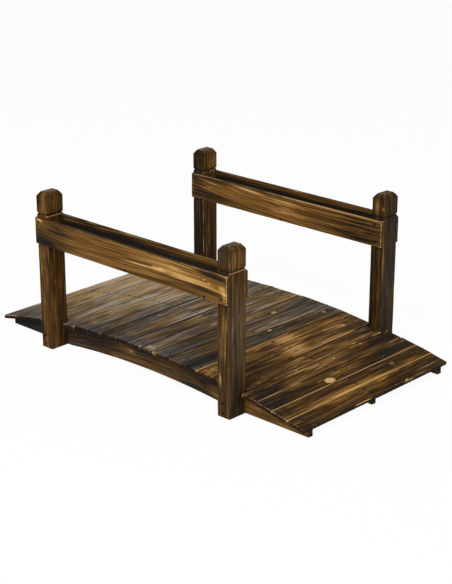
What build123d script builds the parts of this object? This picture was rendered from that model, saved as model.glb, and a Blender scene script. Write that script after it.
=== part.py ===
from build123d import *
import math
import os

# Small arched garden footbridge of scorched fir.
# Millimetres, +Z up, +X along the walkway, origin on the ground under the middle of the deck.
# The near side is the -Y side and the left end is the -X end.

# Deck of flat cross boards laid along an arc
deck_length = 1500
deck_width = 786
deck_rise = 78
deck_end_height = 36
board_count = 22
board_thickness = 13
board_gap = 1.5
board_ease = 1.5
seat_clearance = 0.2

# Stringers on edge, hollowed underneath between the posts
stringer_span = 720
stringer_thickness = 20
left_overhang = 24
right_overhang = 4
middle_overhang = 14
middle_stringer_offset = 10
arch_setback = 18
arch_rise = 22.5

# Posts outside the outer stringers, with a V groove all round under a chamfered top
post_spacing = 888
post_width = 54
post_depth = 77
post_arris = 2
eave_height = 578
cap_height = 15
cap_inset = 12
head_height = 61
groove_width = 10
groove_depth = 3.5
post_clearance = 1

# Bolts from the outer faces of the posts into the outer stringers
bolt_hole_diameter = 8.5
bolt_recess_diameter = 13
bolt_recess_depth = 9
bolt_low = 14
bolt_high = 49
bolt_offset = 6

# Rails in pairs, one on each side of the posts
rail_height = 97
rail_thickness = 12
rail_drop = 7
rail_setback = 2
rail_ease = 1.5

# The arc that the boards and the tops of the stringers share
deck_half = deck_length / 2
deck_radius = (deck_half**2 + deck_rise**2) / (2 * deck_rise)
arc_centre_height = deck_end_height + deck_rise - deck_radius
under_radius = deck_radius - board_thickness
seat_radius = under_radius - seat_clearance
board_turn = 2 * math.asin(deck_half / deck_radius) / board_count
board_width = 2 * under_radius * math.tan(board_turn / 2) - board_gap

# Places across and along the bridge
post_x = post_spacing / 2
post_inner_y = stringer_span / 2
post_outer_y = post_inner_y + post_depth
outer_stringer_y = (stringer_span - stringer_thickness) / 2
arch_spring = post_x - post_width / 2 - arch_setback
outer_left = left_overhang - deck_half
outer_right = deck_half - right_overhang
middle_half = deck_half - middle_overhang
groove_height = eave_height - head_height - groove_width / 2
rail_bottom = groove_height - groove_width / 2 - rail_drop - rail_height
rail_length = post_spacing + post_width - 2 * rail_setback


def seat_height(x):
    """Height of the stringers' curved top edge at a place along the bridge."""
    return arc_centre_height + math.sqrt(seat_radius**2 - x**2)


def side_plane(side, distance):
    """Upright plane that faces outwards on one side of the bridge: -1 near, +1 far."""
    return Plane(origin=(0, side * distance, 0), x_dir=(-side, 0, 0), z_dir=(0, side, 0))


def bolt_places(side, x):
    """Places of a post's two bolts on a side plane."""
    across = -side * x - bolt_offset
    return [(across, bolt_low), (across, bolt_high)]


def save(part, label):
    """Name a finished piece and write it to its own file."""
    part.label = label
    export_step(part, f"parts/{label}.step")


def make_stringer(label, y, left, right, bolted_side=0):
    """Bearer cut to the deck's arc above and hollowed to a flatter arch below."""
    with BuildPart() as stringer:
        with BuildSketch(Plane.XZ.offset(-y)):
            with BuildLine():
                ThreePointArc((left, seat_height(left)), (0, seat_height(0)), (right, seat_height(right)))
                Polyline((right, seat_height(right)), (right, 0), (arch_spring, 0))
                ThreePointArc((arch_spring, 0), (0, arch_rise), (-arch_spring, 0))
                Polyline((-arch_spring, 0), (left, 0), (left, seat_height(left)))
            make_face()
        extrude(amount=stringer_thickness / 2, both=True)
        if bolted_side:
            with BuildSketch(side_plane(bolted_side, post_inner_y)):
                with Locations(*bolt_places(bolted_side, -post_x), *bolt_places(bolted_side, post_x)):
                    Circle(bolt_hole_diameter / 2)
            extrude(amount=-stringer_thickness, mode=Mode.SUBTRACT)
    save(stringer.part, label)


def make_post(label, side, x):
    """Square-cut post: straight shaft, V groove, head and a flat top with wide chamfers."""
    sections = [
        (0, 0),
        (groove_height - groove_width / 2, 0),
        (groove_height, groove_depth),
        (groove_height + groove_width / 2, 0),
        (eave_height, 0),
        (eave_height + cap_height, cap_inset),
    ]
    with BuildPart() as post:
        for height, inset in sections:
            with BuildSketch(Plane.XY.offset(height)):
                with Locations((x, side * (post_inner_y + post_outer_y) / 2)):
                    RectangleRounded(post_width - 2 * inset, post_depth - 2 * inset, post_arris)
        loft(ruled=True)
        with Locations(side_plane(side, post_outer_y)):
            with Locations(*bolt_places(side, x)):
                CounterBoreHole(bolt_hole_diameter / 2, bolt_recess_diameter / 2, bolt_recess_depth, post_depth)
    save(post.part, label)


def make_rail(label, y):
    """Plain board on edge with eased arrises, flat against the posts."""
    with BuildPart() as rail:
        with BuildSketch(Plane.XY.offset(rail_bottom)):
            with Locations((0, y)):
                Rectangle(rail_length, rail_thickness)
        extrude(amount=rail_height)
        chamfer(rail.edges(), rail_ease)
    save(rail.part, label)


def make_board(number):
    """Flat cross board lying on the arc; one that meets the posts is cut to fit between them."""
    turn = (number - (board_count + 1) / 2) * board_turn
    seat = Plane(
        origin=(under_radius * math.sin(turn), 0, arc_centre_height + under_radius * math.cos(turn)),
        x_dir=(math.cos(turn), 0, -math.sin(turn)),
        z_dir=(math.sin(turn), 0, math.cos(turn)),
    )
    reach = (board_width + board_thickness * abs(math.sin(turn)) + post_width) / 2 + post_clearance
    between_posts = abs(abs(seat.origin.X) - post_x) < reach
    length = stringer_span - 2 * post_clearance if between_posts else deck_width
    with BuildPart() as board:
        with BuildSketch(seat):
            Rectangle(board_width, length)
        extrude(amount=board_thickness)
        walked_face = board.faces().sort_by(Axis(seat.origin, seat.z_dir))[-1]
        chamfer(walked_face.edges(), board_ease)
    save(board.part, f"deck_board_{number:02d}")


os.makedirs("parts", exist_ok=True)

make_stringer("near_stringer", -outer_stringer_y, outer_left, outer_right, bolted_side=-1)
make_stringer("middle_stringer", -middle_stringer_offset, -middle_half, middle_half)
make_stringer("far_stringer", outer_stringer_y, outer_left, outer_right, bolted_side=1)

make_post("near_left_post", -1, -post_x)
make_post("near_right_post", -1, post_x)
make_post("far_left_post", 1, -post_x)
make_post("far_right_post", 1, post_x)

make_rail("near_outer_rail", -post_outer_y - rail_thickness / 2)
make_rail("near_inner_rail", -post_inner_y + rail_thickness / 2)
make_rail("far_inner_rail", post_inner_y - rail_thickness / 2)
make_rail("far_outer_rail", post_outer_y + rail_thickness / 2)

for board_number in range(1, board_count + 1):
    make_board(board_number)
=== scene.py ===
import math

import bpy
import numpy as np
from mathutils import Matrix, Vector


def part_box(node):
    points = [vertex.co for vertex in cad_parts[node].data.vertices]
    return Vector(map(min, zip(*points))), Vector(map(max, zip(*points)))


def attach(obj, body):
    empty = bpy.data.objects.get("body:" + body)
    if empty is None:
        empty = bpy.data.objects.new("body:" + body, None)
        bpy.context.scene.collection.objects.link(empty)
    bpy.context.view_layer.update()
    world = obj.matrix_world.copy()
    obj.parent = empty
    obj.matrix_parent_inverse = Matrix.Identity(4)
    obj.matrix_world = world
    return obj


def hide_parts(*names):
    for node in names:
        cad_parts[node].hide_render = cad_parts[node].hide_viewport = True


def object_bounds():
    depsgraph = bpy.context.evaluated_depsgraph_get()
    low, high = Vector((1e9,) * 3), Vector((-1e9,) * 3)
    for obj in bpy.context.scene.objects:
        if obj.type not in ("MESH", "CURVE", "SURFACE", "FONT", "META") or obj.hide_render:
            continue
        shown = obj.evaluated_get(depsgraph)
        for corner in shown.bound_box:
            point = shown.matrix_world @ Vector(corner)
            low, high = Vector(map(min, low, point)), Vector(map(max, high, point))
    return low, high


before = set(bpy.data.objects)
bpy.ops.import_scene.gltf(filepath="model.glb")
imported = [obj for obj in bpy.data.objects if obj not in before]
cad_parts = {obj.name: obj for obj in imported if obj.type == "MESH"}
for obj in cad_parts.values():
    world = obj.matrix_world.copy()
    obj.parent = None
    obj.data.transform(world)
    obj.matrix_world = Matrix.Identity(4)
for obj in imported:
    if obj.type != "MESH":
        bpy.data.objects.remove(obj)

cad_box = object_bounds()

# The photograph's height in pixels, and the camera fitted to it
IMAGE_HEIGHT_PIXELS = 584
FOCAL_PIXELS = 1498.1
SENSOR_WIDTH = 36.0
CAMERA_PLACE = (3.523, -3.700, 2.091)
CAMERA_YAW = 0.7546
CAMERA_PITCH = -0.3523

# Grid spacing along, across and through each kind of timber
BOARD_PITCH = (0.008, 0.0030, 0.005)
RAIL_PITCH = (0.008, 0.0024, 0.005)
POST_PITCH = (0.007, 0.0055, 0.0060)
STRINGER_PITCH = (0.010, 0.0070, 0.005)

# How far edges are eased and boards are trimmed, cupped and let down
EASE = 0.0016
EASE_WAVELENGTH = 0.12
EDGE_SHARES = (0.0, 0.3, 0.65, 1.0, 2.0)
LOWER_EASE_SHARE = 0.2
SEAM_INSET = 0.0003
END_TRIM = 0.008
END_SKEW = 0.0014
CUP = 0.0006
SEAT_DROP = 0.0008
SEAM_REACH = 0.0030

# Wear: how much there is everywhere, how far from an arris it reaches, and how a worn stretch fades out
BASE_WEAR = 0.20
ARRIS_ZONE = 0.006
FADE_OUTSIDE, FADE_INSIDE = 0.05, 0.03
FACE_START, FACE_FULL = 0.0016, 0.0004
BEYOND_ALL = 9.0

# Fixings, with profiles of (share of the radius, height) or, for washers, (radius, height)
NAIL_RADIUS = 0.0036
NAIL_SHARES = (-0.26, 0.20)
NAIL_END_GAP = 0.012
NAIL_STRAY, NAIL_STRAY_SHARE = 0.007, 0.16
NAIL_STAIN = (0.012, 0.007, 0.28)
NAIL_PROFILE = [(0.6, -0.0010), (1.0, -0.0004), (1.0, 0.0003), (0.9, 0.0006), (0.5, 0.0008)]
SCREW_RADIUS = 0.0040
SCREW_INSET = 0.0150
SCREW_SINK = 0.0005
SCREW_STRAY_ALONG, SCREW_STRAY_ACROSS = (-0.007, 0.001), (-0.002, 0.002)
SCREW_STAIN = (0.008, 0.006, 0.30)
SCREW_PROFILE = [(0.6, -0.0020), (1.0, -0.0006), (1.0, 0.0003), (0.85, 0.0005), (0.45, 0.0001)]
BOLT_RADIUS = 0.0055
BOLT_RECESS_RADIUS = 0.0065
BOLT_RECESS_DEPTH = 0.009
BOLT_PROFILE = [(1.0, 0.0013), (1.0, 0.0044), (0.88, 0.0052)]
WASHER_PROFILE = [(0.0060, 0.0), (0.0062, 0.0003), (0.0062, 0.0011), (0.0058, 0.0014)]
NAIL_SIDES, SCREW_SIDES, ROUND_SIDES, HEX_SIDES = 12, 14, 24, 6


# Closed grids

def side_lines(half, pitch, ease):
    """Places of grid lines across a side: close together near both ends, then about a pitch apart."""
    near = ease * np.array(EDGE_SHARES)
    span = 2 * (half - near[-1])
    inner = np.linspace(-half + near[-1], half - near[-1], max(2, round(span / pitch) + 1))
    return np.concatenate([-half + near[:-1], inner, half - near[-2::-1]])


def box_surface(xs, ys, zs):
    """Points and outward quads of a closed box whose faces carry the given grid lines."""
    outside = np.zeros((len(xs), len(ys), len(zs)), bool)
    outside[[0, -1], :, :] = outside[:, [0, -1], :] = outside[:, :, [0, -1]] = True
    number = np.full(outside.shape, -1)
    number[outside] = np.arange(outside.sum())
    quads = []
    for axis in range(3):
        for side in (0, -1):
            sheet = np.take(number, side, axis=axis)
            corners = (sheet[:-1, :-1], sheet[1:, :-1], sheet[1:, 1:], sheet[:-1, 1:])
            quad = np.stack(corners, -1).reshape(-1, 4)
            quads.append(quad[:, ::-1] if (side == 0) != (axis == 1) else quad)
    grid = np.stack(np.meshgrid(xs, ys, zs, indexing="ij"), -1)
    return grid[outside], np.concatenate(quads)


def wander(places, rng, wavelength, waves=5):
    """A smooth random line, mostly between -1 and 1, along the given places."""
    total = np.zeros(len(places))
    for _ in range(waves):
        turn = 2 * math.pi / (wavelength * rng.uniform(0.5, 1.7))
        total += rng.uniform(0.4, 1.0) * np.sin(turn * places + rng.uniform(0, 2 * math.pi))
    return total / waves ** 0.5


def smooth(value, low, high):
    """0 below low, 1 above high, and a soft step between them."""
    t = np.clip((value - low) / (high - low), 0, 1)
    return t * t * (3 - 2 * t)


# Timber

# The line that straight grain follows: places (along, across)
STRAIGHT_SWEEP = ((-0.5, 0.0), (0.5, 0.0))


class Timber:
    """One sawn length: a closed grid with eased, worn edges and the marks that its wood shader reads.

    Axis 0 runs along the grain, axis 1 across the wide face and axis 2 through the thickness.
    The smaller run is, the longer are the streaks of its grain; under is the share of the easing that
    the edges of the lower wide face get.
    """
    run = 1.0

    def __init__(self, name, size, pitch, stops=(), chips=(), sweep=STRAIGHT_SWEEP, under=1.0):
        self.name = name
        self.under = under
        self.sweep = np.polynomial.Polynomial.fit(*zip(*sweep), min(3, len(sweep) - 1))
        self.rng = np.random.default_rng(list(name.encode()))
        self.half = np.array(size) / 2
        lines = [side_lines(half, step, EASE) for half, step in zip(self.half, pitch)]
        lines[0] = np.unique(np.concatenate([lines[0], np.array(stops)]))
        self.flat, self.faces = box_surface(*lines)
        self.body = self.eased(chips)
        self.read_grid()

    def eased(self, chips):
        """The grid with its edges rounded, more in some stretches than in others, and chipped where asked.

        A chip is (along, side, length, depth), on an edge of the upper wide face.
        """
        side = np.sign(self.flat[:, 1]) + 3 * np.sign(self.flat[:, 2])
        radius = np.full(len(self.flat), EASE)
        for corner in np.unique(side):
            here = side == corner
            line = wander(self.flat[here, 0], self.rng, EASE_WAVELENGTH)
            radius[here] *= 0.85 + 0.35 * np.clip(line, -1, 1)
        radius = np.where(self.flat[:, 2] < 0, self.under * radius, radius)
        for along, edge, length, depth in chips:
            here = (self.flat[:, 1] * edge > 0) & (self.flat[:, 2] > 0)
            dip = 1 - smooth(np.abs(self.flat[:, 0] - along), 0.15 * length, 0.5 * length)
            radius = np.where(here, np.maximum(radius, depth * dip), radius)
        core = np.clip(self.flat, radius[:, None] - self.half, self.half - radius[:, None])
        out = self.flat - core
        reach = np.maximum(np.linalg.norm(out, axis=1), 1e-9)
        return core + out * (radius / reach)[:, None]

    def read_grid(self):
        """Distances and empty marks for each point of the flat grid."""
        self.along, self.across, self.depth = self.flat.T
        self.lined = self.flat - np.outer(self.sweep(self.along), (0, 1, 0))
        self.edge = np.sort(self.half - np.abs(self.flat), axis=1)[:, 1]
        self.end_gap = self.half[0] - np.abs(self.along)
        self.wear = np.full(len(self.flat), BASE_WEAR)
        self.scorch = np.zeros(len(self.flat))
        self.weather = np.zeros(len(self.flat))
        self.knots = []
        sideways = self.rng.uniform(-0.8, 0.8) * self.half[1]
        self.pith = np.array([self.rng.uniform(0, 9), sideways, self.rng.uniform(0.02, 0.07)])

    def on_face(self, face):
        """1 on one long face, given as (axis, side), and 0 elsewhere."""
        axis, side = face
        half = self.half[axis]
        return smooth(self.flat[:, axis] * side, half - FACE_START, half - FACE_FULL)

    def patch(self, face, along, offset, length, width, strength):
        """A soft darker patch on a face, scorched or painted shade, or, with a negative strength, a bare
        golden one.

        On the wide faces it follows the sweep of the grain.
        """
        line = offset - self.sweep(along) * (face[0] == 2)
        reach = np.hypot((self.along - along) / length, (self.lined[:, 3 - face[0]] - line) / width)
        self.scorch += strength * (1 - smooth(reach, 0.15, 1.2)) * self.on_face(face)

    def scatter(self, face, count, length, width, strength):
        """A few patches at random places of a face; each range is (least, most)."""
        rng, half = self.rng, self.half[3 - face[0]]
        for _ in range(count):
            self.patch(face, rng.uniform(-1, 1) * self.half[0], rng.uniform(-1, 1) * half,
                       rng.uniform(*length), rng.uniform(*width), rng.uniform(*strength))

    def worn_edge(self, side, strength, start=-BEYOND_ALL, end=BEYOND_ALL, face=1):
        """A bright worn arris along one edge of a wide face: side is -1 or 1 across it."""
        near = (self.across * side > self.half[1] - ARRIS_ZONE) & (self.edge < ARRIS_ZONE)
        near &= self.depth * face > 0
        begun = smooth(self.along, start - FADE_OUTSIDE, start + FADE_INSIDE)
        ended = smooth(self.along, end - FADE_INSIDE, end + FADE_OUTSIDE)
        self.wear = np.where(near, np.maximum(self.wear, strength * begun * (1 - ended)), self.wear)

    def worn_end(self, side, strength, face=0):
        """A bright worn arris round one end, or only on one wide face: side is -1 or 1 along the grain."""
        near = (self.end_gap < ARRIS_ZONE) & (self.along * side > 0) & (self.depth * face >= 0)
        self.wear = np.where(near, np.maximum(self.wear, strength), self.wear)

    def knot(self, along, across, radius, pale=0.8, face=1):
        """A knot on a wide face, pale or dark inside."""
        self.knots.append((along, across, radius, pale, face))

    def knot_marks(self):
        """For each point, its place from the nearest knot in knot radii, and how pale that knot is."""
        marks = np.full((len(self.flat), 3), 40.0)
        nearest = np.full(len(self.flat), 5.0)
        for along, across, radius, pale, face in self.knots:
            offset = np.stack([(self.along - along) / (1.5 * radius), (self.across - across) / radius], 1)
            reach = np.linalg.norm(offset, axis=1)
            take = (reach < nearest) & (self.depth * face > 0.2 * self.half[2])
            marks[take, :2] = offset[take]
            marks[take, 2] = pale
            nearest[take] = reach[take]
        return marks

    def make(self, points, material, slot, *nodes):
        """The finished piece at the given points, in place of its CAD node."""
        mesh = bpy.data.meshes.new(self.name)
        mesh.from_pydata(points.tolist(), [], [list(face) for face in self.faces])
        mesh.polygons.foreach_set("use_smooth", [True] * len(mesh.polygons))
        vectors = {"grain": self.lined * (self.run, 1, 1) + self.pith, "knot": self.knot_marks()}
        numbers = {"edge": self.edge, "wear": self.wear, "scorch": self.scorch, "weather": self.weather}
        for name, values in vectors.items():
            mesh.attributes.new(name, "FLOAT_VECTOR", "POINT").data.foreach_set("vector", values.ravel())
        for name, values in numbers.items():
            mesh.attributes.new(name, "FLOAT", "POINT").data.foreach_set("value", values)
        mesh.materials.append(material)
        mesh.update()
        piece = bpy.data.objects.new(self.name, mesh)
        bpy.context.scene.collection.objects.link(piece)
        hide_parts(*nodes)
        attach(piece, "root")
        return piece


# Shapes read from the frame

post_x = abs(sum(corner[0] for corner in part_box("near_right_post"))) / 2


def node_points(node):
    """The CAD node's points as an array."""
    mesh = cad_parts[node].data
    points = np.empty(3 * len(mesh.vertices))
    mesh.vertices.foreach_get("co", points)
    return points.reshape(-1, 3)


def board_axes(node):
    """Centre, axes (along, across, up) and size of a tilted deck board."""
    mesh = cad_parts[node].data
    up = max((f for f in mesh.polygons if f.normal.z > 0.5), key=lambda f: f.area).normal
    axes = np.array([(0, -1, 0), (up.z, 0, -up.x), (up.x, 0, up.z)])
    local = node_points(node) @ axes.T
    low, high = local.min(0), local.max(0)
    return (low + high) / 2 @ axes, axes, high - low


def outline(node, direction):
    """Height of the node's upper (1) or lower (-1) outline at any place along X, as a function."""
    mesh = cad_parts[node].data
    rim = {i for f in mesh.polygons if f.normal.z * direction > 0.5 for i in f.vertices}
    places = {(round(mesh.vertices[i].co.x, 5), round(mesh.vertices[i].co.z, 5)) for i in rim}
    clear = sorted(place for place in places if abs(abs(place[0]) - post_x) > 2 * BOLT_RECESS_RADIUS)
    xs, zs = np.array(clear).T
    return lambda x: np.interp(x, xs, zs)


def post_levels(node):
    """Heights where a post's faces change, with its half width in X there."""
    points = node_points(node)
    centre = (points[:, 0].min() + points[:, 0].max()) / 2
    reach = np.abs(points[:, 0] - centre)
    clear = reach > 2 * BOLT_RECESS_RADIUS
    levels = {}
    for height, width in zip(points[clear, 2].round(4), reach[clear]):
        levels[height] = max(width, levels.get(height, 0))
    heights = np.array(sorted(levels))
    return heights, np.array([levels[h] for h in heights])


# Materials

class Graph:
    """Short calls for the node tree of a material or of the world."""

    def __init__(self, owner, output="ShaderNodeOutputMaterial"):
        owner.use_nodes = True
        self.owner = owner
        self.output = output
        self.tree = owner.node_tree
        self.tree.nodes.clear()

    def node(self, kind, settings=None, **inputs):
        node = self.tree.nodes.new(kind)
        for key, value in (settings or {}).items():
            setattr(node, key, value)
        for key, value in inputs.items():
            self.feed(node.inputs[key.replace("_", " ")], value)
        return node

    def feed(self, socket, value):
        if isinstance(value, bpy.types.NodeSocket):
            self.tree.links.new(value, socket)
        else:
            socket.default_value = value

    def math(self, operation, *values):
        node = self.tree.nodes.new("ShaderNodeMath")
        node.operation = operation
        for socket, value in zip(node.inputs, values):
            self.feed(socket, value)
        return node.outputs[0]

    def add(self, *values):
        total = values[0]
        for value in values[1:]:
            total = self.math("ADD", total, value)
        return total

    def times(self, *values):
        total = values[0]
        for value in values[1:]:
            total = self.math("MULTIPLY", total, value)
        return total

    def less(self, value):
        """What is left of 1."""
        return self.math("SUBTRACT", 1.0, value)

    def vector(self, operation, *values):
        node = self.tree.nodes.new("ShaderNodeVectorMath")
        node.operation = operation
        for socket, value in zip(node.inputs, values):
            self.feed(socket, value)
        return node.outputs["Value" if operation == "LENGTH" else "Vector"]

    def attribute(self, name, output):
        return self.node("ShaderNodeAttribute", {"attribute_name": name}).outputs[output]

    def noise(self, place, stretch, detail=2.0, roughness=0.5):
        """Noise between about 0 and 1, with its own scale along each axis."""
        scaled = self.vector("MULTIPLY", place, stretch)
        node = self.node("ShaderNodeTexNoise", Vector=scaled, Scale=1.0, Detail=detail, Roughness=roughness)
        return node.outputs[0]

    def step(self, value, low, high):
        settings = {"interpolation_type": "SMOOTHSTEP"}
        return self.node("ShaderNodeMapRange", settings, Value=value, From_Min=low, From_Max=high).outputs[0]

    def centred(self, value, strength):
        """The noise value moved to be around zero, times a strength."""
        return self.times(self.math("SUBTRACT", value, 0.5), strength)

    def ramp(self, value, stops):
        node = self.node("ShaderNodeValToRGB", Fac=value)
        elements = node.color_ramp.elements
        while len(elements) < len(stops):
            elements.new(0.5)
        for element, (place, colour) in zip(elements, stops):
            element.position = place
            element.color = (*colour, 1)
        return node.outputs[0]

    def mix(self, share, first, second):
        node = self.tree.nodes.new("ShaderNodeMix")
        node.data_type = "RGBA"
        for socket, value in zip((node.inputs[0], node.inputs[6], node.inputs[7]), (share, first, second)):
            self.feed(socket, (*value, 1) if isinstance(value, tuple) else value)
        return node.outputs[2]

    def background_rays(self):
        """1 for rays that show the background, straight or by way of metal or glass, and 0 for others."""
        path = self.node("ShaderNodeLightPath")
        bent = self.math("MAXIMUM", path.outputs["Is Glossy Ray"], path.outputs["Is Transmission Ray"])
        return self.math("MAXIMUM", path.outputs["Is Camera Ray"], bent)

    def surface(self, shader):
        """The finished material or world."""
        self.node(self.output, Surface=shader.outputs[0])
        return self.owner


RINGS_PER_METRE = 190.0
GRAIN_HEIGHT = 0.0009
RUST_HEIGHT = 0.0003

# Colours, and tones from bare wood to charcoal: (place, colour)
TAN = (0.600, 0.365, 0.145)
KNOT_TAN = (0.600, 0.385, 0.170)
# Slate grey: weathered charcoal, and painted sheen on charcoal
SLATE_AND_SHEEN = (0.062, 0.070, 0.076)
DECK_TONES = [
    (0.00, (0.500, 0.295, 0.120)), (0.18, (0.300, 0.158, 0.054)), (0.40, (0.130, 0.067, 0.0225)),
    (0.62, (0.062, 0.0325, 0.0118)), (0.84, (0.028, 0.0167, 0.0078)), (1.00, (0.012, 0.010, 0.009))]
RAIL_TONES = [
    (0.00, (0.600, 0.360, 0.145)), (0.20, (0.350, 0.187, 0.064)), (0.42, (0.185, 0.093, 0.028)),
    (0.64, (0.095, 0.048, 0.0150)), (0.84, (0.040, 0.023, 0.0098)), (1.00, (0.015, 0.012, 0.0095))]
POST_TONES = [
    (0.00, (0.430, 0.245, 0.088)), (0.20, (0.230, 0.117, 0.036)), (0.42, (0.108, 0.0545, 0.0170)),
    (0.64, (0.058, 0.030, 0.0097)), (0.84, (0.028, 0.0163, 0.0072)), (1.00, (0.012, 0.0095, 0.0080))]
STEEL_TONES = [(0.30, (0.006, 0.005, 0.005)), (0.55, (0.014, 0.010, 0.008)), (0.80, (0.050, 0.026, 0.013))]


def wood(name, tones, spacing, lean, fine, broad, flecked, specular):
    """Scorched and brushed softwood: tones run from bare golden wood to charcoal.

    spacing is the number of grain lines in a metre across, and lean moves all tones towards charcoal.
    fine, broad and flecked say how strongly grain lines, scorched patches and short pale flecks show.
    """
    g = Graph(bpy.data.materials.new(name))
    grain = g.attribute("grain", "Vector")
    knot = g.attribute("knot", "Vector")
    scorch = g.attribute("scorch", "Fac")
    wear = g.attribute("wear", "Fac")
    edge = g.attribute("edge", "Fac")
    weather = g.attribute("weather", "Fac")

    # Knots push the grain aside
    knot_parts = g.node("ShaderNodeSeparateXYZ", Vector=knot)
    knot_reach = g.vector("LENGTH", g.vector("MULTIPLY", knot, (1, 1, 0)))
    knot_reach = g.add(knot_reach, g.centred(g.noise(grain, (90, 140, 140)), 0.55))
    fade = g.math("EXPONENT", g.times(knot_reach, -0.9))
    swerve = g.times(knot_parts.outputs[1], fade)
    drift = g.noise(grain, (2.2, 9, 9), 1)
    slide = g.add(g.centred(drift, 0.030), g.times(swerve, -0.006))
    bent = g.vector("ADD", grain, g.node("ShaderNodeCombineXYZ", X=0.0, Y=slide, Z=slide).outputs[0])

    # Yearly rings, fibres, streaks and broad scorching
    rings = g.vector("LENGTH", g.vector("MULTIPLY", bent, (0.0, 1.0, 1.0)))
    age = g.add(g.times(rings, RINGS_PER_METRE), g.centred(g.noise(bent, (1.2, 24, 24)), 1.0))
    year = g.math("FRACT", age)
    latewood = g.times(g.step(year, 0.45, 0.86), g.less(g.step(year, 0.90, 1.0)))
    fibres = g.noise(bent, (6, 3.4 * spacing, 3.4 * spacing), 1)
    lines = g.step(g.noise(bent, (5, spacing, spacing), 2, 0.6), 0.32, 0.68)
    hairs = g.step(g.noise(bent, (7, 1.9 * spacing, 1.9 * spacing), 1), 0.30, 0.70)
    streaks = g.step(g.noise(bent, (2, 0.45 * spacing, 0.45 * spacing), 1), 0.30, 0.70)
    feather = g.add(g.noise(bent, (3.0, 14, 14), 2), g.centred(streaks, 0.08), g.centred(lines, 0.05))
    patches = g.step(feather, 0.28, 0.72)
    glints = g.step(g.noise(bent, (4, 1.4 * spacing, 1.4 * spacing), 1), 0.64, 0.74)
    flecks = g.step(g.noise(bent, (22, 1.5 * spacing, 1.5 * spacing), 1), 0.64, 0.76)
    cracks = g.step(g.noise(bent, (9, 1.7 * spacing, 1.9 * spacing), 1), 0.64, 0.76)
    pattern = g.add(
        g.centred(latewood, 0.08 * fine), g.centred(fibres, 0.14 * fine), g.centred(lines, 0.16 * fine),
        g.centred(hairs, 0.38 * fine), g.centred(streaks, 0.10 * fine), g.centred(patches, 0.60 * broad),
        g.times(glints, -0.32 * fine), g.times(flecks, -0.36 * flecked), g.times(cracks, 0.28 * fine))
    brushed = g.step(g.noise(bent, (2.5, 1.5 * spacing, 1.5 * spacing), 1), 0.28, 0.72)
    fibrous = g.add(0.75, g.times(brushed, 0.5))
    # The per-point scorch values darken the tone: real scorching, and also painted shade at seams, under
    # boards, in grooves and between paired rails
    tone = g.add(0.5 + lean, g.times(scorch, fibrous), g.times(pattern, g.less(g.times(weather, 0.20))))

    # Weathered stretches, and stretches with painted sheen, are greyer, with slate in their dark parts
    colour = g.ramp(tone, tones)
    cold = g.step(g.noise(bent, (4.0, 16, 16), 1), 0.40, 0.66)
    dulled = g.math("SUBTRACT", 1.05, g.times(weather, g.add(0.14, g.times(cold, 0.42))))
    hue = g.add(0.5, g.times(weather, 0.010))
    colour = g.node("ShaderNodeHueSaturation", Hue=hue, Color=colour, Saturation=dulled).outputs[0]
    slate_and_sheen = g.times(weather, cold, g.step(tone, 0.40, 0.62), 0.45)
    colour = g.mix(slate_and_sheen, colour, SLATE_AND_SHEEN)

    # Rubbed arrises and knots
    reach = g.add(0.0018, g.times(g.math("MINIMUM", wear, 1.0), 0.0016))
    arris = g.less(g.step(edge, 0.0008, reach))
    rubbed = g.step(g.add(wear, g.centred(g.noise(bent, (15, 160, 160), 2), 0.9)), 0.34, 0.72)
    colour = g.mix(g.times(arris, rubbed), colour, TAN)
    heart = g.less(g.step(knot_reach, 0.75, 1.0))
    rim = g.times(g.step(knot_reach, 0.75, 1.05), g.less(g.step(knot_reach, 1.10, 1.9)))
    ring = g.times(g.step(knot_reach, 0.40, 0.52), g.less(g.step(knot_reach, 0.56, 0.72)), 0.20)
    colour = g.mix(g.times(rim, 0.45), colour, tones[-2][1])
    colour = g.mix(g.times(heart, knot_parts.outputs[2]), colour, KNOT_TAN)
    colour = g.mix(g.times(ring, heart), colour, tones[1][1])

    height = g.add(
        g.times(latewood, 0.5), g.times(fibres, 0.7), g.times(streaks, 0.6), g.times(heart, 0.4),
        g.times(flecks, flecked * 0.6))
    bump = g.node("ShaderNodeBump", Strength=0.5, Distance=GRAIN_HEIGHT, Height=height)
    roughness = g.add(0.58, g.centred(fibres, 0.30), g.centred(patches, 0.20))
    shader = g.node(
        "ShaderNodeBsdfPrincipled", Base_Color=colour, Roughness=roughness, Normal=bump.outputs[0],
        Specular_IOR_Level=specular)
    return g.surface(shader)


def dark_steel(name):
    """Blackened fixings with slightly rusty high spots."""
    g = Graph(bpy.data.materials.new(name))
    place = g.node("ShaderNodeTexCoord").outputs["Object"]
    mottle = g.noise(place, (260, 260, 260), 3, 0.6)
    colour = g.ramp(mottle, STEEL_TONES)
    bump = g.node("ShaderNodeBump", Strength=0.3, Distance=RUST_HEIGHT, Height=mottle)
    rough = g.add(0.55, g.centred(mottle, 0.3))
    shader = g.node(
        "ShaderNodeBsdfPrincipled", Base_Color=colour, Metallic=0.3, Roughness=rough, Normal=bump.outputs[0],
        Specular_IOR_Level=0.10)
    return g.surface(shader)


deck_wood = wood(
    "deck_wood", DECK_TONES, spacing=80, lean=0.04, fine=1.0, broad=0.32, flecked=0.75, specular=0.02)
rail_wood = wood(
    "rail_wood", RAIL_TONES, spacing=150, lean=0.07, fine=0.95, broad=0.24, flecked=0.25, specular=0.03)
post_wood = wood(
    "post_wood", POST_TONES, spacing=115, lean=0.10, fine=1.0, broad=0.30, flecked=0.75, specular=0.03)
stringer_wood = wood(
    "stringer_wood", RAIL_TONES, spacing=115, lean=0.28, fine=0.80, broad=0.36, flecked=0.30, specular=0.03)
steel = dark_steel("dark_steel")


# Deck boards

BOARD_NODES = sorted(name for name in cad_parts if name.startswith("deck_board_"))
STRINGER_NODES = ("near_stringer", "middle_stringer", "far_stringer")
stringer_lines = [float(sum(corner[1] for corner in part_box(node)) / 2) for node in STRINGER_NODES]

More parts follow.
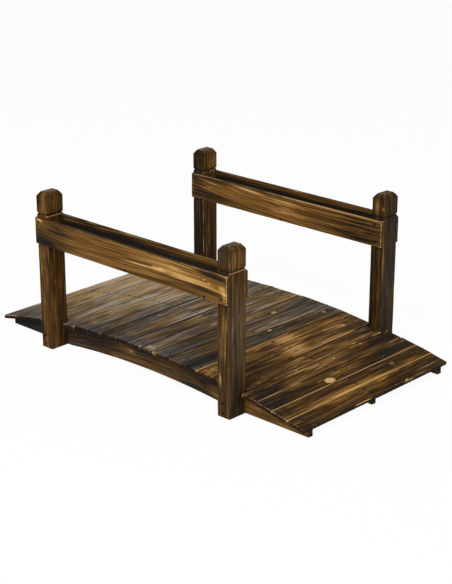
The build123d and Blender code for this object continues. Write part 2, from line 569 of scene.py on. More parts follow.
# Long faces as (axis, side), and patches at random places on them: (count, lengths, widths, strengths)
TOP = FRONT = (2, 1)
BACK = (2, -1)
BOARD_SCATTER = (4, (0.08, 0.20), (0.015, 0.045), (-0.10, 0.12))
STRINGER_SCATTER = (9, (0.05, 0.16), (0.010, 0.03), (-0.12, 0.26))
POST_SCATTER = (5, (0.04, 0.14), (0.006, 0.02), (-0.12, 0.20))
RAIL_SCATTER = (4, (0.10, 0.25), (0.012, 0.04), (-0.08, 0.08))
# Depth of the darker end grain
END_GRAIN = 0.002

# Marks are placed from each board's middle, with along towards the near side.
# Knots: (along, across, radius, paleness)
BOARD_KNOTS = {
    5: [(0.010, -0.024, 0.006, 0.7)],
    9: [(0.121, -0.006, 0.007, 0.9)],
    13: [(-0.185, 0.010, 0.009, 0.7)],
    15: [(-0.049, -0.028, 0.0075, 0.9), (-0.330, -0.006, 0.006, 0.7)],
    17: [(-0.293, -0.020, 0.008, 0.4)],
    18: [(-0.204, 0.031, 0.004, 0.9)],
    19: [(-0.226, -0.024, 0.004, 0.9), (-0.058, -0.009, 0.005, 0.9), (0.121, -0.028, 0.006, 0.4)],
    20: [(0.073, 0.014, 0.0168, 1.0)],
    21: [(-0.206, -0.004, 0.009, 0.25)],
    22: [(-0.163, 0.028, 0.005, 0.9)]}
# Worn edges: (side, strength, start, end)
BOARD_EDGES = {
    1: [(-1, 1.0, 0.34, 0.39)],
    6: [(1, 1.5, -0.14, 0.20)],
    9: [(1, 0.5, -0.10, 0.22)],
    14: [(1, 0.6, -0.34, -0.10)],
    15: [(1, 1.2, -0.07, 0.17), (1, 0.9, 0.28, 0.39)],
    16: [(1, 0.9, -0.29, -0.20)],
    17: [(1, 1.1, -0.28, 0.04)],
    18: [(1, 0.6, -0.13, 0.24)],
    19: [(1, 0.6, -0.39, -0.30), (1, 0.7, 0.17, 0.39)],
    20: [(1, 1.5, -0.39, 0.39)],
    21: [(1, 1.4, -0.39, 0.39)]}
# How worn the near ends of some boards are
BOARD_ENDS = {1: 0.55, 19: 0.40, 20: 0.45, 21: 0.45, 22: 0.35}
# Scorched and bare patches: (along, across, length, width, strength)
BOARD_PATCHES = {
    1: [(0.28, 0.00, 0.12, 0.04, 0.12)],
    2: [(0.30, 0.00, 0.14, 0.04, 0.16)],
    3: [(-0.05, 0.00, 0.14, 0.04, -0.08)],
    5: [(-0.04, 0.00, 0.14, 0.04, -0.12)],
    6: [(0.01, 0.010, 0.18, 0.006, -0.46), (0.00, 0.020, 0.17, 0.006, 0.42),
        (0.03, 0.030, 0.20, 0.007, -0.60)],
    7: [(0.03, -0.031, 0.20, 0.006, -0.25), (0.00, 0.005, 0.10, 0.030, -0.08)],
    8: [(0.10, 0.032, 0.36, 0.007, 0.50)],
    9: [(0.10, -0.033, 0.36, 0.006, 0.40), (0.05, 0.025, 0.20, 0.006, -0.48),
        (0.30, 0.00, 0.12, 0.04, 0.10)],
    10: [(-0.04, -0.010, 0.07, 0.014, 0.22), (0.04, 0.020, 0.16, 0.007, -0.85),
         (0.02, 0.031, 0.16, 0.006, 0.60), (0.18, -0.004, 0.16, 0.030, -0.22)],
    11: [(0.08, 0.002, 0.10, 0.030, -0.22), (-0.02, -0.014, 0.05, 0.014, 0.20),
         (-0.15, 0.032, 0.24, 0.006, 0.35)],
    12: [(0.362, -0.004, 0.026, 0.026, -0.40), (0.28, -0.031, 0.12, 0.006, 0.40),
         (-0.30, 0.00, 0.14, 0.04, -0.12)],
    13: [(-0.30, 0.005, 0.14, 0.024, 0.14), (0.28, -0.006, 0.14, 0.022, 0.22)],
    14: [(-0.06, 0.020, 0.17, 0.014, -0.18), (-0.32, -0.010, 0.12, 0.024, 0.14)],
    15: [(-0.22, -0.004, 0.18, 0.026, 0.18), (0.31, -0.010, 0.12, 0.028, 0.36),
         (0.10, 0.006, 0.07, 0.014, -0.12)],
    16: [(-0.03, -0.010, 0.09, 0.036, -0.40), (0.06, -0.028, 0.16, 0.010, -0.36),
         (0.07, 0.002, 0.06, 0.016, 0.20), (0.355, -0.012, 0.03, 0.022, -0.18),
         (-0.28, 0.00, 0.12, 0.03, -0.03), (0.25, 0.00, 0.06, 0.03, 0.06)],
    17: [(0.00, -0.005, 0.08, 0.044, -0.52), (-0.285, -0.022, 0.03, 0.014, -0.30),
         (-0.33, 0.008, 0.10, 0.020, 0.32), (0.27, 0.000, 0.12, 0.022, 0.20),
         (-0.10, 0.026, 0.18, 0.010, -0.25), (0.11, 0.00, 0.08, 0.04, -0.12)],
    18: [(-0.33, 0.00, 0.08, 0.04, 0.12), (0.20, 0.012, 0.06, 0.005, -0.28),
         (0.33, 0.028, 0.05, 0.005, -0.35), (0.29, 0.000, 0.12, 0.030, -0.16),
         (0.05, 0.00, 0.16, 0.04, -0.08)],
    19: [(-0.34, 0.000, 0.12, 0.040, 0.42), (-0.17, 0.010, 0.13, 0.026, 0.28),
         (0.07, -0.016, 0.16, 0.012, -0.30), (0.31, 0.004, 0.12, 0.034, 0.24)],
    20: [(0.03, -0.008, 0.14, 0.026, -0.26), (-0.28, 0.005, 0.18, 0.034, 0.34),
         (0.29, 0.000, 0.15, 0.034, 0.26), (-0.15, 0.024, 0.10, 0.010, 0.18)],
    21: [(0.00, -0.006, 0.45, 0.020, 0.20), (0.03, 0.026, 0.26, 0.014, -0.40),
         (0.03, -0.006, 0.14, 0.016, 0.10), (-0.33, 0.000, 0.10, 0.030, 0.10)],
    22: [(0.00, -0.026, 0.26, 0.014, -0.38), (0.00, 0.018, 0.45, 0.022, 0.12),
         (-0.34, 0.00, 0.12, 0.04, 0.24), (0.30, 0.012, 0.12, 0.034, 0.20),
         (-0.05, -0.008, 0.12, 0.022, -0.08)]}
# How grey all over boards are, a painted sheen, and how scorched: (place along the bridge, amount)
SHEEN_GREYING = (
    (-0.75, 1.00), (-0.05, 0.95), (0.10, 0.80), (0.24, 0.75), (0.30, 0.00), (0.50, 0.05), (0.65, -0.08))
# Lighter scorching on the left boards is also painted sheen
SCORCH_AND_SHEEN = (
    (-0.75, -0.36), (-0.580, -0.38), (-0.443, -0.40), (-0.307, -0.37), (-0.239, -0.24), (-0.170, -0.10),
    (-0.102, -0.21), (-0.034, -0.22), (0.034, -0.17), (0.102, -0.11), (0.170, -0.10), (0.239, 0.01),
    (0.307, -0.04), (0.375, -0.07), (0.443, -0.10), (0.511, 0.04), (0.580, 0.05), (0.648, 0.02),
    (0.716, 0.03))
# How much darker than their middles the near ends are: scorched ends, and on the left boards also painted
# sheen that leaves the far halves lighter
NEAR_SHADE = ((-0.75, 0.30), (-0.20, 0.26), (-0.05, 0.16), (0.10, 0.14), (0.30, 0.05), (0.75, 0.06))
# How dark the painted shade at the seams between boards is
SEAM_SHADE = ((-0.75, 0.16), (-0.30, 0.18), (-0.20, 0.30), (0.75, 0.30))
# Chips on edges: (along, side, length, depth)
BOARD_CHIPS = {18: [(-0.345, 1, 0.030, 0.004)], 22: [(0.086, 1, 0.045, 0.0052), (-0.166, 1, 0.014, 0.0030)]}
CHIP_WEAR = 1.3
# Most wear that any edge gets by chance
CHANCE_WEAR = 0.38
# How the near ends, all ends and the end grain of boards are shaded: (start, end) or reach
NEAR_STRETCH = (0.02, 0.39)
END_REACH = 0.09
BOARD_END_GRAIN = 0.0022
# Painted shade on the underside of each board
UNDERSIDE_SHADE = 0.25
# Reach of a bare corner along and across its board
BARE_CORNER = (0.006, 0.010)
LENGTH_TOLERANCE = 0.001


def along_bridge(table, place):
    """A table's amount at a place along the bridge."""
    return np.interp(place, *zip(*table))


def mark_board(board, number, middle_x):
    """Painted sheen, scorching, painted shade at seams and underneath, and the marks of one deck board."""
    rng = board.rng
    board.scatter(TOP, *BOARD_SCATTER)
    # Painted sheen: the tops of the left and middle boards are greyer, and those of the left boards lighter
    board.weather += along_bridge(SHEEN_GREYING, middle_x) * board.on_face(TOP)
    board.scorch += rng.uniform(-0.05, 0.05) + along_bridge(SCORCH_AND_SHEEN, middle_x) * board.on_face(TOP)
    board.scorch += along_bridge(NEAR_SHADE, middle_x) * smooth(board.along, *NEAR_STRETCH)
    board.scorch += 0.12 * rng.uniform(0.2, 1) * (1 - smooth(board.end_gap, 0.0, END_REACH))
    board.scorch += rng.uniform(-0.25, 0.45) * (1 - smooth(board.end_gap, 0.0, BOARD_END_GRAIN))
    # Painted shade on the underside
    board.scorch += UNDERSIDE_SHADE * (board.depth < 0)
    # Painted shade along the seams between boards
    seam = 1 - smooth(board.half[1] - np.abs(board.across), 0.0004, SEAM_REACH)
    board.scorch += along_bridge(SEAM_SHADE, middle_x) * seam
    for side in (-1, 1):
        board.worn_edge(side, rng.uniform(0.0, CHANCE_WEAR))
    for mark in BOARD_KNOTS.get(number, []):
        board.knot(*mark)
    for mark in BOARD_EDGES.get(number, []):
        board.worn_edge(*mark)
    board.worn_end(1, BOARD_ENDS.get(number, 0.0), 1)
    for mark in BOARD_PATCHES.get(number, []):
        board.patch(TOP, *mark)
    for along, side, length, _ in BOARD_CHIPS.get(number, []):
        board.worn_edge(side, CHIP_WEAR, along - length / 2, along + length / 2)
    corner_gap = board.half[1] - board.across * rng.choice((-1, 1))
    bare = 1 - smooth(np.hypot(board.end_gap / BARE_CORNER[0], corner_gap / BARE_CORNER[1]), 0.2, 1.0)
    board.scorch -= rng.uniform(0.2, 0.9) * bare


nail_runs = []
full_length = max(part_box(node)[1][1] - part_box(node)[0][1] for node in BOARD_NODES)
for node in BOARD_NODES:
    number = int(node[-2:])
    centre, axes, size = board_axes(node)
    size[1] -= SEAM_INSET
    chips = BOARD_CHIPS.get(number, [])
    board = Timber(f"board_{number:02d}", size, BOARD_PITCH, chips=chips, under=LOWER_EASE_SHARE)
    rng = board.rng
    share = board.along / board.half[0]
    most = END_TRIM if size[0] > full_length - LENGTH_TOLERANCE else 2 * END_SKEW
    trim = np.where(share > 0, rng.uniform(END_SKEW, most), rng.uniform(END_SKEW, most))
    skew = rng.uniform(-END_SKEW, END_SKEW) * board.across / board.half[1]
    board.body[:, 0] -= (trim + skew) * share
    hollow = CUP * rng.uniform(0, 1) * (1 - (board.across / board.half[1]) ** 2)
    hollow += rng.uniform(0, SEAT_DROP)
    board.body[:, 2] -= hollow * (board.depth > 0)
    mark_board(board, number, centre[0])
    reach = board.half[0] - NAIL_END_GAP
    for line in stringer_lines:
        for place in NAIL_SHARES:
            along = min(max(-line + rng.uniform(-NAIL_STRAY, NAIL_STRAY), -reach), reach)
            across = (2 * place + rng.uniform(-NAIL_STRAY_SHARE, NAIL_STRAY_SHARE)) * board.half[1]
            board.patch(TOP, along, across, *NAIL_STAIN)
            seat = np.array([along, across, board.half[2] - SEAT_DROP])
            nail_runs.append((centre + seat @ axes, axes[2]))
    board.make(centre + board.body @ axes, deck_wood, "deck_wood", node)


# Stringers

# Patches (along, across, length, width, strength) on the faces towards the photographer
STRINGER_PATCHES = (
    (-0.30, 0.010, 0.16, 0.050, 0.26), (-0.20, -0.034, 0.32, 0.012, -0.20),
    (-0.089, 0.006, 0.030, 0.012, -0.35), (0.274, 0.000, 0.035, 0.014, 0.26),
    (0.330, -0.020, 0.050, 0.020, -0.20), (0.05, 0.030, 0.16, 0.016, -0.14))
STRINGER_KNOT = (-0.089, 0.006, 0.005, 0.4)
# Where the dark left end stops and the bright right end starts
LEFT_STRETCH, RIGHT_STRETCH = (-0.60, -0.40), (0.34, 0.52)
GROUND_TOLERANCE = 1e-4

for node in STRINGER_NODES:
    low, high = (np.array(corner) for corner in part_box(node))
    upper, lower = outline(node, 1), outline(node, -1)
    corners = node_points(node)
    spring = np.abs(corners[corners[:, 2] < GROUND_TOLERANCE, 0]).min()
    middle = (low[0] + high[0]) / 2
    size = (high[0] - low[0], high[2] - low[2], high[1] - low[1])
    beam = Timber(f"{node}_beam", size, STRINGER_PITCH, (-spring - middle, spring - middle))
    x = middle + beam.body[:, 0]
    share = beam.body[:, 1] / (2 * beam.half[1]) + 0.5
    y = (low[1] + high[1]) / 2 - beam.body[:, 2]
    points = np.stack([x, y, lower(x) + share * (upper(x) - lower(x))], 1)
    for face in (FRONT, BACK):
        beam.scatter(face, *STRINGER_SCATTER)
    for mark in STRINGER_PATCHES:
        beam.patch(FRONT, *mark)
    left_end, right_end = 1 - smooth(beam.along, *LEFT_STRETCH), smooth(beam.along, *RIGHT_STRETCH)
    beam.scorch += 0.45 * left_end - 0.26 * right_end
    beam.weather += 0.20 + 0.60 * left_end - 0.20 * right_end
    beam.scorch += 0.5 * (1 - smooth(beam.end_gap, 0.0, END_GRAIN))
    beam.worn_edge(-1, 0.35)
    beam.knot(*STRINGER_KNOT)
    beam.make(points, stringer_wood, "stringer_wood", node)


# Turned shapes, for recesses and fixings

def turned(name, profile, runs, sides):
    """Closed turned shapes of one profile of (radius, height): each run is a place and an axis."""
    points, faces = [], []
    for place, axis in runs:
        axis = Vector(axis).normalized()
        across = axis.orthogonal().normalized()
        up = axis.cross(across)
        first = len(points)
        for radius, height in profile:
            for step in range(sides):
                turn = 2 * math.pi * step / sides
                spoke = across * math.cos(turn) + up * math.sin(turn)
                points.append(Vector(place) + axis * height + radius * spoke)
        for ring in range(len(profile) - 1):
            for step in range(sides):
                a, b = first + ring * sides + step, first + ring * sides + (step + 1) % sides
                faces.append((a, b, b + sides, a + sides))
        last = first + (len(profile) - 1) * sides
        faces.append(tuple(range(first + sides - 1, first - 1, -1)))
        faces.append(tuple(range(last, last + sides)))
    mesh = bpy.data.meshes.new(name)
    mesh.from_pydata(points, [], faces)
    mesh.update()
    piece = bpy.data.objects.new(name, mesh)
    bpy.context.scene.collection.objects.link(piece)
    return piece


def cut_recesses(points, faces, places, inward):
    """The post's mesh with a round recess cut at each place, as points and faces."""
    mesh = bpy.data.meshes.new("post_blank")
    mesh.from_pydata(points.tolist(), [], faces.tolist())
    blank = bpy.data.objects.new("post_blank", mesh)
    bpy.context.scene.collection.objects.link(blank)
    profile = [(BOLT_RECESS_RADIUS, -BOLT_RECESS_DEPTH), (BOLT_RECESS_RADIUS, BOLT_RECESS_DEPTH)]
    for place in places:
        tool = turned("recess_tool", profile, [(Vector(place), Vector(inward) * -1)], ROUND_SIDES)
        cut = blank.modifiers.new("recess", "BOOLEAN")
        cut.object, cut.solver, cut.operation = tool, "EXACT", "DIFFERENCE"
        bpy.context.view_layer.objects.active = blank
        bpy.ops.object.modifier_apply(modifier=cut.name)
        bpy.data.objects.remove(tool)
    points = np.array([tuple(v.co) for v in mesh.vertices])
    faces = [tuple(f.vertices) for f in mesh.polygons]
    bpy.data.objects.remove(blank)
    return points, faces


# Posts

# Where on a post's outer face the rims of its bolt recesses lie
FACE_TOLERANCE = 1e-5
MIDDLE_SHARE = 0.37
BOLT_ZONE = (0.004, 0.1)


def bolt_centres(node):
    """Places of a post's bolt holes on its outer face, and the direction into the post."""
    points = node_points(node)
    low, high = points.min(0), points.max(0)
    side = math.copysign(1, low[1] + high[1])
    outer = high[1] if side > 0 else low[1]
    middle = (low + high) / 2
    on_face = np.abs(points[:, 1] - outer) < FACE_TOLERANCE
    inside = np.abs(points[:, 0] - middle[0]) < (high[0] - low[0]) * MIDDLE_SHARE
    rim = points[on_face & inside & (points[:, 2] > BOLT_ZONE[0]) & (points[:, 2] < BOLT_ZONE[1])]
    split = (rim[:, 2].min() + rim[:, 2].max()) / 2
    centres = []
    for part in (rim[rim[:, 2] < split], rim[rim[:, 2] > split]):
        low, high = part.min(0), part.max(0)
        centres.append(((low[0] + high[0]) / 2, outer, (low[2] + high[2]) / 2))
    return centres, (0, -side, 0)


POST_NODES = ("near_left_post", "near_right_post", "far_left_post", "far_right_post")
NEAR, RIGHT, FAR, LEFT = (2, -1), (1, 1), (2, 1), (1, -1)
# Place and size of a patch that covers a whole face
ALL_OVER = (0, 0, BEYOND_ALL, BEYOND_ALL)
# Patches on each post's faces: (face, along, offset, length, width, strength)
POST_PATCHES = {
    "near_left_post": [
        (NEAR, *ALL_OVER, 0.02), (NEAR, -0.05, -0.006, 0.30, 0.012, -0.12),
        (NEAR, -0.1, 0.020, 0.4, 0.010, 0.12), (NEAR, -0.24, -0.020, 0.05, 0.010, 0.25),
        (NEAR, 0.26, -0.020, 0.03, 0.016, 0.25),
        (NEAR, 0.25, 0.012, 0.04, 0.018, -0.18), (RIGHT, *ALL_OVER, 0.08),
        (RIGHT, -0.18, -0.022, 0.16, 0.007, -0.22), (RIGHT, -0.10, 0.012, 0.20, 0.007, -0.16),
        (RIGHT, 0.25, 0.0, 0.04, 0.05, -0.22)],
    "near_right_post": [
        (NEAR, *ALL_OVER, 0.05), (RIGHT, *ALL_OVER, 0.01), (NEAR, -0.165, -0.016, 0.036, 0.009, -0.70),
        (NEAR, -0.10, 0.012, 0.12, 0.008, 0.22), (RIGHT, 0.05, -0.024, 0.25, 0.006, -0.18),
        (RIGHT, -0.23, 0.0, 0.07, 0.04, 0.12), (RIGHT, 0.25, 0.0, 0.05, 0.05, -0.28),
        (NEAR, 0.25, 0.0, 0.05, 0.05, -0.15)],
    "far_left_post": [
        # The far left post's near face is darker all over: its scorch and a painted shade
        (NEAR, *ALL_OVER, 0.32), (RIGHT, *ALL_OVER, 0.06), (RIGHT, 0.24, 0.0, 0.04, 0.04, -0.18)],
    "far_right_post": [
        (NEAR, *ALL_OVER, 0.09), (NEAR, -0.1, -0.022, 0.4, 0.014, 0.22), (RIGHT, *ALL_OVER, 0.10),
        (RIGHT, 0.03, -0.036, 0.14, 0.008, -0.35), (NEAR, 0.25, -0.004, 0.04, 0.022, -0.36),
        (NEAR, 0.246, 0.023, 0.009, 0.007, -0.80)]}
# How worn the lower lip of the groove is, and how weathered the near and right faces are
LIP_WEAR = {"near_left_post": 0.62, "near_right_post": 0.66, "far_left_post": 0.50, "far_right_post": 0.15}
POST_WEATHER = {"near_right_post": (0.15, 0.32), "far_right_post": (0.0, 0.40)}
# Worn edges: (side, strength, start, end, face)
POST_EDGES = {"far_left_post": [(1, 0.52, -0.25, 0.20, -1)]}
POST_WEAR = 0.30
RIM_WEAR = 0.36
# How wide the worn bands at the groove's lip and round the cap are, and how sharp their lines
LIP_BAND, RIM_BAND, LINE_BAND = 0.005, 0.004, 0.01
LIP_SHARPNESS = 1.8
LEVEL_EASE = 0.0012
# Where the painted shade in the groove, the scorching of the cap and that of its top fade, from the height
# of each
GROOVE_STRETCH, EAVE_STRETCH, TOP_STRETCH = (0.001, 0.004), (-0.003, 0.002), (-0.002, -0.0005)

bolt_runs = []
for node in POST_NODES:
    low, high = (np.array(corner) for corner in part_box(node))
    middle = (low + high) / 2
    heights, widths = post_levels(node)
    inset = widths.max() - widths
    levels = heights[1:-1] - middle[2]
    stops = np.concatenate([levels, levels - LEVEL_EASE, levels + LEVEL_EASE])
    size = (high[2] - low[2], high[0] - low[0], high[1] - low[1])
    post = Timber(f"{node}_timber", size, POST_PITCH, stops)
    body = post.body
    drawn = np.interp(body[:, 0] + middle[2], heights, inset)
    points = np.stack([
        middle[0] + body[:, 1] * (1 - drawn / post.half[1]),
        middle[1] + body[:, 2] * (1 - drawn / post.half[2]),
        middle[2] + body[:, 0]], 1)
    centres, inward = bolt_centres(node)
    points, post.faces = cut_recesses(points, post.faces, centres, inward)
    drawn = np.interp(points[:, 2], heights, inset)
    post.flat = np.stack([
        points[:, 2] - middle[2],
        (points[:, 0] - middle[0]) / (1 - drawn / post.half[1]),
        (points[:, 1] - middle[1]) / (1 - drawn / post.half[2])], 1)
    post.read_grid()
    for face in (NEAR, RIGHT, FAR, LEFT):
        post.scatter(face, *POST_SCATTER)
    for mark in POST_PATCHES[node]:
        post.patch(*mark)
    for face, amount in zip((NEAR, RIGHT), POST_WEATHER.get(node, ())):
        post.weather += amount * post.on_face(face)
    post.wear[:] = POST_WEAR
    for mark in POST_EDGES.get(node, []):
        post.worn_edge(*mark)
    lip = np.abs(points[:, 2] - heights[1])
    lip_wear = LIP_WEAR[node] * (0.55 + 0.45 * post.on_face(RIGHT))
    post.wear = np.where(lip < LIP_BAND, lip_wear, post.wear)
    rim = np.minimum(np.abs(points[:, 2] - heights[-2]), np.abs(points[:, 2] - heights[-1]))
    post.wear = np.where(rim < RIM_BAND, RIM_WEAR, post.wear)
    for line in (lip, rim):
        post.edge = np.minimum(post.edge, np.where(line < LINE_BAND, LIP_SHARPNESS * line, 1.0))
    groove = 1 - smooth(np.abs(points[:, 2] - heights[2]), *GROOVE_STRETCH)
    eave = smooth(points[:, 2] - heights[-2], *EAVE_STRETCH)
    top = smooth(points[:, 2] - heights[-1], *TOP_STRETCH)
    # Painted shade in the groove, and scorch on the cap, less on its top
    post.scorch += 0.35 * groove + (0.36 - 0.26 * top) * eave
    # The cap is greyer: weathering, and painted sheen on its top and chamfers
    post.weather += 0.9 * eave
    post.make(points, post_wood, "post_wood", node)
    for centre in centres:
        bolt_runs.append((Vector(centre) + Vector(inward) * BOLT_RECESS_DEPTH, Vector(inward) * -1))


# Rails

RAIL_NODES = ("near_outer_rail", "near_inner_rail", "far_inner_rail", "far_outer_rail")
UPPER_EDGE = (1, 1)
# Patches on the faces towards the photographer: (along, across, length, width, strength)
RAIL_PATCHES = {
    "near_outer_rail": [
        (-0.40, 0.00, 0.22, 0.09, 0.13), (0.25, 0.006, 0.24, 0.05, -0.14),
        (-0.445, 0.041, 0.022, 0.008, -0.55), (-0.355, 0.016, 0.080, 0.018, 0.26),
        (-0.30, 0.030, 0.12, 0.012, 0.12),
        (-0.425, -0.034, 0.065, 0.024, 0.38), (-0.35, -0.036, 0.10, 0.014, 0.20),
        (-0.30, -0.010, 0.16, 0.004, -0.16), (0.05, 0.036, 0.35, 0.010, -0.12),
        (0.08, -0.003, 0.11, 0.005, -0.42), (0.16, 0.002, 0.045, 0.009, -0.42),
        (0.30, 0.001, 0.18, 0.006, -0.45), (0.28, 0.014, 0.18, 0.018, -0.16),
        (0.40, 0.037, 0.080, 0.012, 0.50), (0.37, -0.018, 0.11, 0.011, 0.42),
        (0.22, -0.014, 0.10, 0.006, 0.24), (0.25, -0.036, 0.14, 0.010, 0.18),
        (0.450, 0.002, 0.022, 0.014, -0.50), (0.458, -0.022, 0.012, 0.022, -0.50),
        (0.136, 0.007, 0.006, 0.003, -0.40), (0.172, 0.006, 0.007, 0.003, -0.40),
        (0.370, 0.016, 0.006, 0.004, -0.45), (0.390, 0.009, 0.008, 0.003, -0.50),
        (0.380, 0.013, 0.004, 0.006, 0.30)],
    "far_inner_rail": [
        (-0.02, 0.01, 0.28, 0.06, -0.12), (-0.42, 0.00, 0.14, 0.08, 0.12), (0.40, -0.01, 0.14, 0.08, 0.12),
        (-0.44, 0.000, 0.035, 0.050, 0.20), (-0.36, -0.030, 0.11, 0.024, 0.28),
        (-0.34, 0.044, 0.12, 0.010, 0.28), (-0.375, 0.009, 0.03, 0.006, -0.34),
        (-0.36, 0.026, 0.05, 0.004, -0.24), (-0.16, 0.037, 0.10, 0.005, -0.40),
        (0.035, 0.027, 0.11, 0.006, -0.52), (0.20, 0.045, 0.27, 0.006, -0.42),
        (0.33, 0.037, 0.13, 0.005, 0.40), (0.03, -0.010, 0.11, 0.030, -0.18),
        (0.36, 0.015, 0.13, 0.003, -0.26), (0.38, 0.008, 0.10, 0.003, 0.28),
        (0.36, 0.024, 0.12, 0.003, 0.26), (0.32, -0.034, 0.14, 0.018, 0.28),
        (0.43, -0.010, 0.05, 0.030, 0.14)]}
# Worn edges: (side, strength, start, end)
RAIL_EDGES = {
    "near_outer_rail": [(1, 0.25, -0.47, 0.24), (1, 0.55, 0.24, 0.47), (-1, 0.30, -0.47, 0.47)],
    "far_inner_rail": [(1, 0.45, -0.47, 0.00), (1, 0.75, 0.00, 0.47), (-1, 0.25, -0.47, 0.47)]}
# More screws, on those faces: (along, across)
MORE_SCREWS = {"near_outer_rail": [(-0.002, -0.041), (0.369, -0.043)], "far_inner_rail": [(-0.002, -0.043)]}
# The line that the grain follows: places (along, across)
PLAIN_SWEEP = ((-0.47, -0.008), (0.47, 0.008))
RAIL_SWEEPS = {
    "near_outer_rail": ((-0.47, 0.009), (-0.17, -0.008), (0.02, -0.004), (0.15, 0.000), (0.47, -0.007)),
    "far_inner_rail": ((-0.47, 0.017), (-0.20, 0.006), (0.00, -0.006), (0.20, -0.012), (0.47, -0.013))}

PLAIN_EDGES = [(1, 0.4)]
BACK_EDGE_WEAR = 0.35
RAIL_END_WEAR = 0.6
# How long the streaks of the rails' grain are: smaller is longer
RAIL_RUN = 0.6
# Where the painted shade on the lower part of the faces inside a pair of rails ends
SLOT_SHADE_STRETCH = (0.018, 0.042)

screw_runs = []
for node in RAIL_NODES:
    low, high = (np.array(corner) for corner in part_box(node))
    middle = (low + high) / 2
    size = (high[0] - low[0], high[2] - low[2], high[1] - low[1] - 2 * SCREW_SINK)
    rail = Timber(f"{node}_plank", size, RAIL_PITCH, sweep=RAIL_SWEEPS.get(node, PLAIN_SWEEP))
    rail.run = RAIL_RUN
    points = middle + rail.body[:, [0, 2, 1]] * (1, -1, 1)
    rng = rail.rng
    for face in (FRONT, BACK):
        rail.scatter(face, *RAIL_SCATTER)
    rail.scorch += 0.4 * (1 - smooth(rail.end_gap, 0.0, END_GRAIN)) + 0.28 * rail.on_face(UPPER_EDGE)
    inside = BACK if node.endswith("outer_rail") == node.startswith("near") else FRONT
    # Painted shade on the face inside a pair of rails: slight all over, deepest on its lower part
    rail.scorch += rail.on_face(inside) * (0.10 + 0.55 * (1 - smooth(rail.across, *SLOT_SHADE_STRETCH)))
    for mark in RAIL_PATCHES.get(node, []):
        rail.patch(FRONT, *mark)
    for mark in RAIL_EDGES.get(node, PLAIN_EDGES):
        rail.worn_edge(*mark)
    rail.worn_edge(1, BACK_EDGE_WEAR, face=-1)
    rail.worn_end(1, RAIL_END_WEAR)
    side = -1 if node in ("near_outer_rail", "far_inner_rail") else 1
    level = rail.half[1] - SCREW_INSET
    spots = [(x, z) for x in (-post_x, post_x) for z in (-level, level)]
    spots = [(x + rng.uniform(*SCREW_STRAY_ALONG), z + rng.uniform(*SCREW_STRAY_ACROSS)) for x, z in spots]
    for x, z in spots + MORE_SCREWS.get(node, []):
        rail.patch((2, -side), x, z, *SCREW_STAIN)
        place = middle + np.array((x, side * rail.half[2], z))
        screw_runs.append((Vector(place), Vector((0, side, 0))))
    rail.make(points, rail_wood, "rail_wood", node)


# Fixings

def fixing(name, profile, runs, sides, smooth_sides=True):
    """Turned fixings of one kind as one piece of dark steel."""
    piece = turned(name, profile, runs, sides)
    piece.data.materials.append(steel)
    piece.data.polygons.foreach_set("use_smooth", [smooth_sides] * len(piece.data.polygons))
    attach(piece, "root")
    return piece


def scaled(profile, radius):
    """A profile whose radii were shares of the given one."""
    return [(radius * share, height) for share, height in profile]


fixing("deck_nails", scaled(NAIL_PROFILE, NAIL_RADIUS), nail_runs, NAIL_SIDES)
fixing("rail_screws", scaled(SCREW_PROFILE, SCREW_RADIUS), screw_runs, SCREW_SIDES)
fixing("bolt_washers", WASHER_PROFILE, bolt_runs, ROUND_SIDES)
fixing("bolt_heads", scaled(BOLT_PROFILE, BOLT_RADIUS), bolt_runs, HEX_SIDES, False)


# Studio and camera

WHITE = (1, 1, 1, 1)
FLOOR_REACH = 30.0
FLOOR_DROP = 0.0005
FLOOR_PALE = (0.92, 0.92, 0.92, 1)
# How much of the floor's look is plain white, the rest being its own light and shadow
FLOOR_WHITE_SHARE = 0.95
# How far inside the deck's ends and the outer stringers the floor's own shadow takes over from its white
SHADE_MARGIN, SHADE_BLUR = 0.045, 0.015
# Strength of the light that comes from all round
WORLD_LIGHT = 0.38
# Lamps: (name, place, size, power), and where they point
LAMPS = (("key", (0.9, -3.8, 4.6), 2.8, 240.0), ("side", (4.5, 1.5, 3.0), 2.4, 40.0))
LAMP_AIM = (0, 0, 0.2)


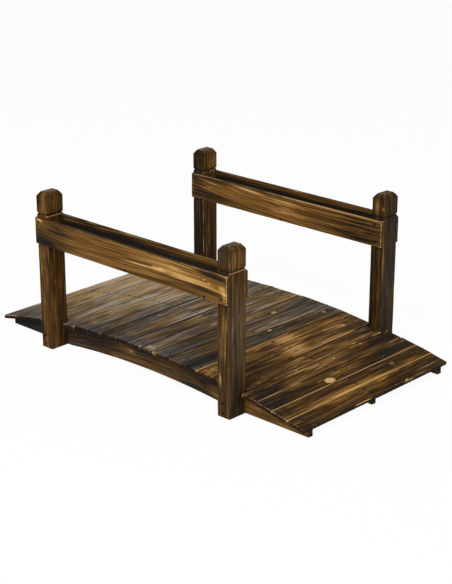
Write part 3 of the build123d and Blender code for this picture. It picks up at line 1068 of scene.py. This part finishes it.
def white_floor():
    """A pale floor that looks white and keeps the object's shadow, fully so under the deck."""
    mesh = bpy.data.meshes.new("floor")
    corners = [(-FLOOR_REACH, -FLOOR_REACH), (FLOOR_REACH, -FLOOR_REACH)]
    corners += [(-x, -y) for x, y in corners]
    mesh.from_pydata([(x, y, -FLOOR_DROP) for x, y in corners], [], [(0, 1, 2, 3)])
    floor = bpy.data.objects.new("floor", mesh)
    bpy.context.scene.collection.objects.link(floor)
    g = Graph(bpy.data.materials.new("floor_white"))
    lit = g.node("ShaderNodeBsdfDiffuse", Color=FLOOR_PALE)
    glow = g.node("ShaderNodeEmission", Color=WHITE, Strength=1.0)
    place = g.node("ShaderNodeSeparateXYZ", Vector=g.node("ShaderNodeNewGeometry").outputs["Position"])
    apart = [g.math("ABSOLUTE", place.outputs[axis]) for axis in "XY"]
    edges = [cad_box[1][0] - SHADE_MARGIN, max(stringer_lines) - SHADE_MARGIN]
    beyond = [g.step(gap, edge - SHADE_BLUR, edge) for gap, edge in zip(apart, edges)]
    open_floor = g.math("MAXIMUM", *beyond)
    white_share = g.times(g.background_rays(), open_floor, FLOOR_WHITE_SHARE)
    seen = g.node("ShaderNodeMixShader", Fac=white_share)
    g.tree.links.new(lit.outputs[0], seen.inputs[1])
    g.tree.links.new(glow.outputs[0], seen.inputs[2])
    mesh.materials.append(g.surface(seen))


def white_world():
    """Surroundings that look white and light the object softly."""
    world = bpy.data.worlds.new("studio")
    bpy.context.scene.world = world
    g = Graph(world, "ShaderNodeOutputWorld")
    strength = g.node("ShaderNodeMapRange", Value=g.background_rays(), To_Min=WORLD_LIGHT, To_Max=1.0)
    g.surface(g.node("ShaderNodeBackground", Color=WHITE, Strength=strength.outputs[0]))


def soft_lamps():
    """One broad lamp near the photographer and a weak one opposite."""
    for name, place, size, power in LAMPS:
        lamp = bpy.data.lights.new(name, "AREA")
        lamp.size, lamp.energy = size, power
        item = bpy.data.objects.new(name, lamp)
        item.location = place
        item.rotation_euler = (Vector(LAMP_AIM) - Vector(place)).to_track_quat("-Z", "Y").to_euler()
        bpy.context.scene.collection.objects.link(item)


def photo_camera():
    """The camera that took the photograph."""
    camera = bpy.data.cameras.new("photo_camera")
    camera.sensor_width = SENSOR_WIDTH
    camera.lens = FOCAL_PIXELS * SENSOR_WIDTH / IMAGE_HEIGHT_PIXELS
    item = bpy.data.objects.new("photo_camera", camera)
    item.location = CAMERA_PLACE
    item.rotation_euler = (math.pi / 2 + CAMERA_PITCH, 0, CAMERA_YAW)
    bpy.context.scene.collection.objects.link(item)
    bpy.context.scene.camera = item


white_floor()
white_world()
soft_lamps()
photo_camera()
bpy.context.scene.view_settings.view_transform = "Standard"
